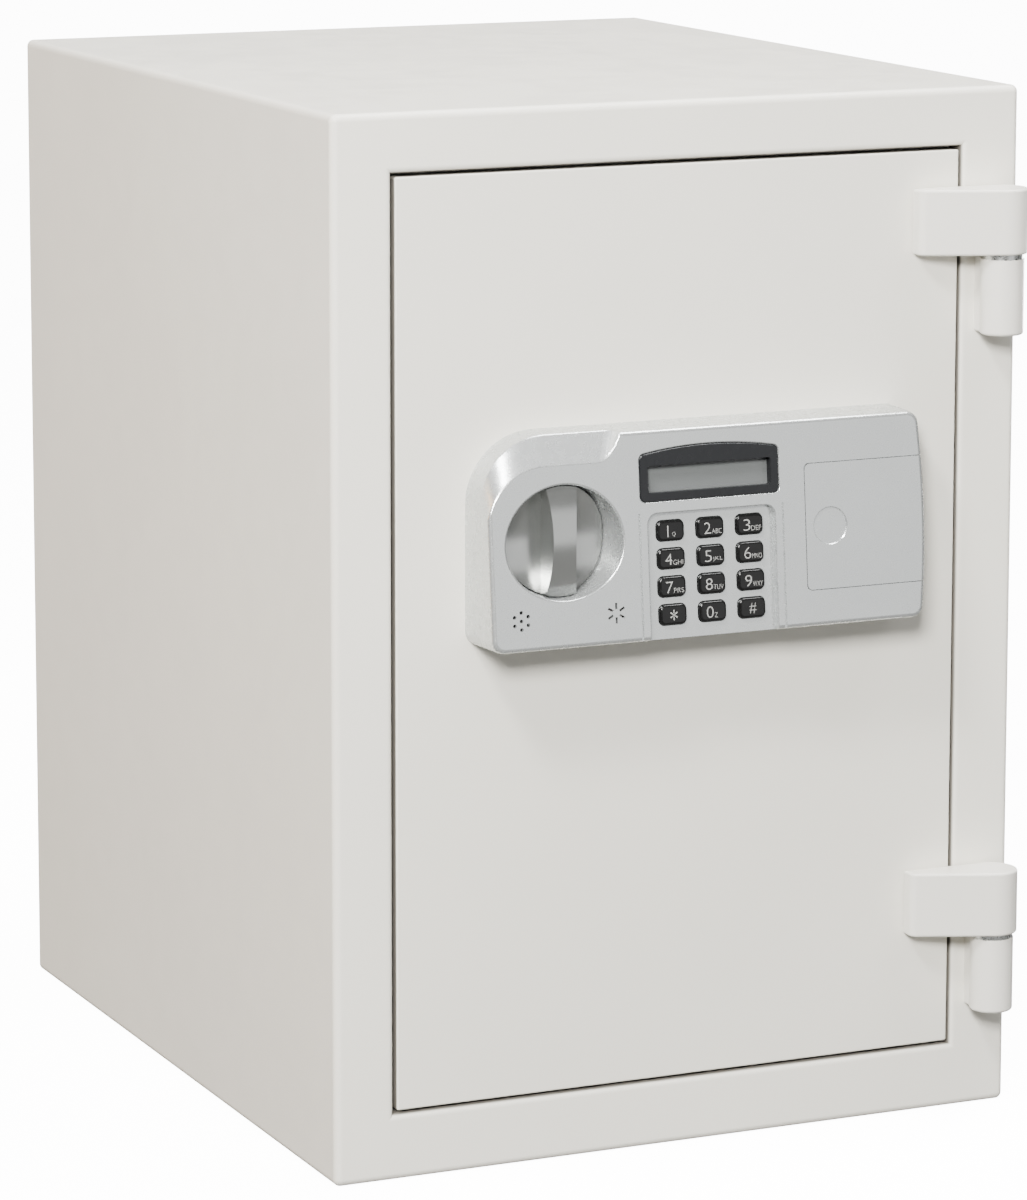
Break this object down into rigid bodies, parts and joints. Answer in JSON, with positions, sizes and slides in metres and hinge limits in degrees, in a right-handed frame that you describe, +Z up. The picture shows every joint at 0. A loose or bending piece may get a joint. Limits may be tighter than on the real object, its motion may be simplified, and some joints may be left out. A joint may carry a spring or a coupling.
{
  "type": "fire safe",
  "caption": "Small fire safe: double-walled steel cabinet, plug door on outside hinges, keypad panel with turning knob, sliding bolts, battery cover, inner shelf.",
  "frame": {"origin": "centre of the cabinet's underside, on the surface it stands on", "axes": "+Z up, front with the door towards -Y, +X to the right seen from the front, towards the hinges"},
  "size_m": [0.36, 0.4567, 0.508],
  "materials": {
    "cabinet_paint": "fine satin powder coat",
    "door_paint": "fine satin powder coat",
    "hinge_paint": "satin paint",
    "liner_paint": "matte paint",
    "cement_fill": "matte, porous",
    "zinc_steel": "zinc plated",
    "bolt_chrome": "bright",
    "bush_brass": "satin",
    "seal_foam": "matte",
    "inner_cover_plastic": "fine grain",
    "guide_plastic": "matte",
    "solenoid_case": "matte",
    "knob_plastic": "satin metallic paint",
    "panel_plastic": "satin metallic paint",
    "bezel_plastic": "gloss",
    "lens_clear": "clear",
    "lcd_glass": "matte",
    "board": "solder mask",
    "mat_rubber": "matte",
    "cell_jacket": "gloss",
    "contact_metal": "bright",
    "buzzer_plastic": "matte",
    "led_plastic": "clear tint",
    "lead_plastic": "gloss",
    "key_plastic": "gloss"
  },
  "bodies": {
    "cabinet": {"outer_shell": "cabinet_paint", "back_panel": "cabinet_paint", "insulation_fill": "cement_fill", "door_jamb": "cabinet_paint", "strike_pockets": "zinc_steel", "inner_liner": "liner_paint", "shelf": "liner_paint", "hinge_knuckle_upper": "hinge_paint", "hinge_knuckle_lower": "hinge_paint", "hinge_pin_upper": "zinc_steel", "hinge_pin_lower": "zinc_steel", "hinge_washers": "zinc_steel"},
    "door": {"door_skin": "door_paint", "door_rear_pan": "cabinet_paint", "door_fill": "cement_fill", "door_seal": "seal_foam", "door_inner_cover": "inner_cover_plastic", "cover_screws": "zinc_steel", "hinge_strap_upper": "hinge_paint", "hinge_strap_lower": "hinge_paint", "hinge_bushes": "bush_brass", "lock_plate": "zinc_steel", "bolt_guides": "guide_plastic", "dead_bolts": "bolt_chrome", "solenoid": "solenoid_case", "panel_housing": "panel_plastic", "panel_backplate": "guide_plastic", "lcd_bezel": "bezel_plastic", "lcd_lens": "lens_clear", "lcd_module": "lcd_glass", "circuit_board": "board", "keypad_mat": "mat_rubber", "battery_tray": "guide_plastic", "battery_cells": "cell_jacket", "battery_contacts": "contact_metal", "buzzer": "buzzer_plastic", "status_led": "led_plastic", "solenoid_lead": "lead_plastic", "panel_screws": "zinc_steel"},
    "knob_set": {"knob": "knob_plastic", "knob_spindle": "zinc_steel", "locking_cam": "zinc_steel", "spindle_clip": "zinc_steel"},
    "boltwork": {"bolt_carriage": "zinc_steel", "live_bolts": "bolt_chrome"},
    "plunger": {"solenoid_plunger": "bolt_chrome"},
    "battery_lid": {"battery_cover": "panel_plastic"},
    "button_1": {"key_1": "key_plastic"},
    "button_2": {"key_2": "key_plastic"},
    "button_3": {"key_3": "key_plastic"},
    "button_4": {"key_4": "key_plastic"},
    "button_5": {"key_5": "key_plastic"},
    "button_6": {"key_6": "key_plastic"},
    "button_7": {"key_7": "key_plastic"},
    "button_8": {"key_8": "key_plastic"},
    "button_9": {"key_9": "key_plastic"},
    "button_star": {"key_star": "key_plastic"},
    "button_0": {"key_0": "key_plastic"},
    "button_hash": {"key_hash": "key_plastic"}
  },
  "joints": [
    {"name": "door_hinge", "type": "hinge", "parent": "cabinet", "child": "door", "pos_m": [0.1645, -0.226, 0.25], "axis": [0, 0, 1], "range_deg": [0, 150]},
    {"name": "knob_turn", "type": "hinge", "parent": "door", "child": "knob_set", "pos_m": [-0.074, -0.2, 0.306], "axis": [0, 1, 0], "range_deg": [0, 90]},
    {"name": "bolt_slide", "type": "slide", "parent": "door", "child": "boltwork", "axis": [-1, 0, 0], "range_m": [0, 0.014]},
    {"name": "plunger_slide", "type": "slide", "parent": "door", "child": "plunger", "axis": [-1, 0, 0], "range_m": [0, 0.005]},
    {"name": "cover_slide", "type": "slide", "parent": "door", "child": "battery_lid", "axis": [1, 0, 0], "range_m": [0, 0.03]},
    {"name": "press_1", "type": "slide", "parent": "door", "child": "button_1", "axis": [0, 0.996, -0.0896], "range_m": [0, 0.0012], "stiffness_N_per_m": 400},
    {"name": "press_2", "type": "slide", "parent": "door", "child": "button_2", "axis": [0, 0.996, -0.0896], "range_m": [0, 0.0012], "stiffness_N_per_m": 400},
    {"name": "press_3", "type": "slide", "parent": "door", "child": "button_3", "axis": [0, 0.996, -0.0896], "range_m": [0, 0.0012], "stiffness_N_per_m": 400},
    {"name": "press_4", "type": "slide", "parent": "door", "child": "button_4", "axis": [0, 0.996, -0.0896], "range_m": [0, 0.0012], "stiffness_N_per_m": 400},
    {"name": "press_5", "type": "slide", "parent": "door", "child": "button_5", "axis": [0, 0.996, -0.0896], "range_m": [0, 0.0012], "stiffness_N_per_m": 400},
    {"name": "press_6", "type": "slide", "parent": "door", "child": "button_6", "axis": [0, 0.996, -0.0896], "range_m": [0, 0.0012], "stiffness_N_per_m": 400},
    {"name": "press_7", "type": "slide", "parent": "door", "child": "button_7", "axis": [0, 0.996, -0.0896], "range_m": [0, 0.0012], "stiffness_N_per_m": 400},
    {"name": "press_8", "type": "slide", "parent": "door", "child": "button_8", "axis": [0, 0.996, -0.0896], "range_m": [0, 0.0012], "stiffness_N_per_m": 400},
    {"name": "press_9", "type": "slide", "parent": "door", "child": "button_9", "axis": [0, 0.996, -0.0896], "range_m": [0, 0.0012], "stiffness_N_per_m": 400},
    {"name": "press_star", "type": "slide", "parent": "door", "child": "button_star", "axis": [0, 0.996, -0.0896], "range_m": [0, 0.0012], "stiffness_N_per_m": 400},
    {"name": "press_0", "type": "slide", "parent": "door", "child": "button_0", "axis": [0, 0.996, -0.0896], "range_m": [0, 0.0012], "stiffness_N_per_m": 400},
    {"name": "press_hash", "type": "slide", "parent": "door", "child": "button_hash", "axis": [0, 0.996, -0.0896], "range_m": [0, 0.0012], "stiffness_N_per_m": 400}
  ],
  "couplings": [
    {"joint": "knob_turn", "follows": "bolt_slide", "rad_per_m": 112.2}
  ]
}
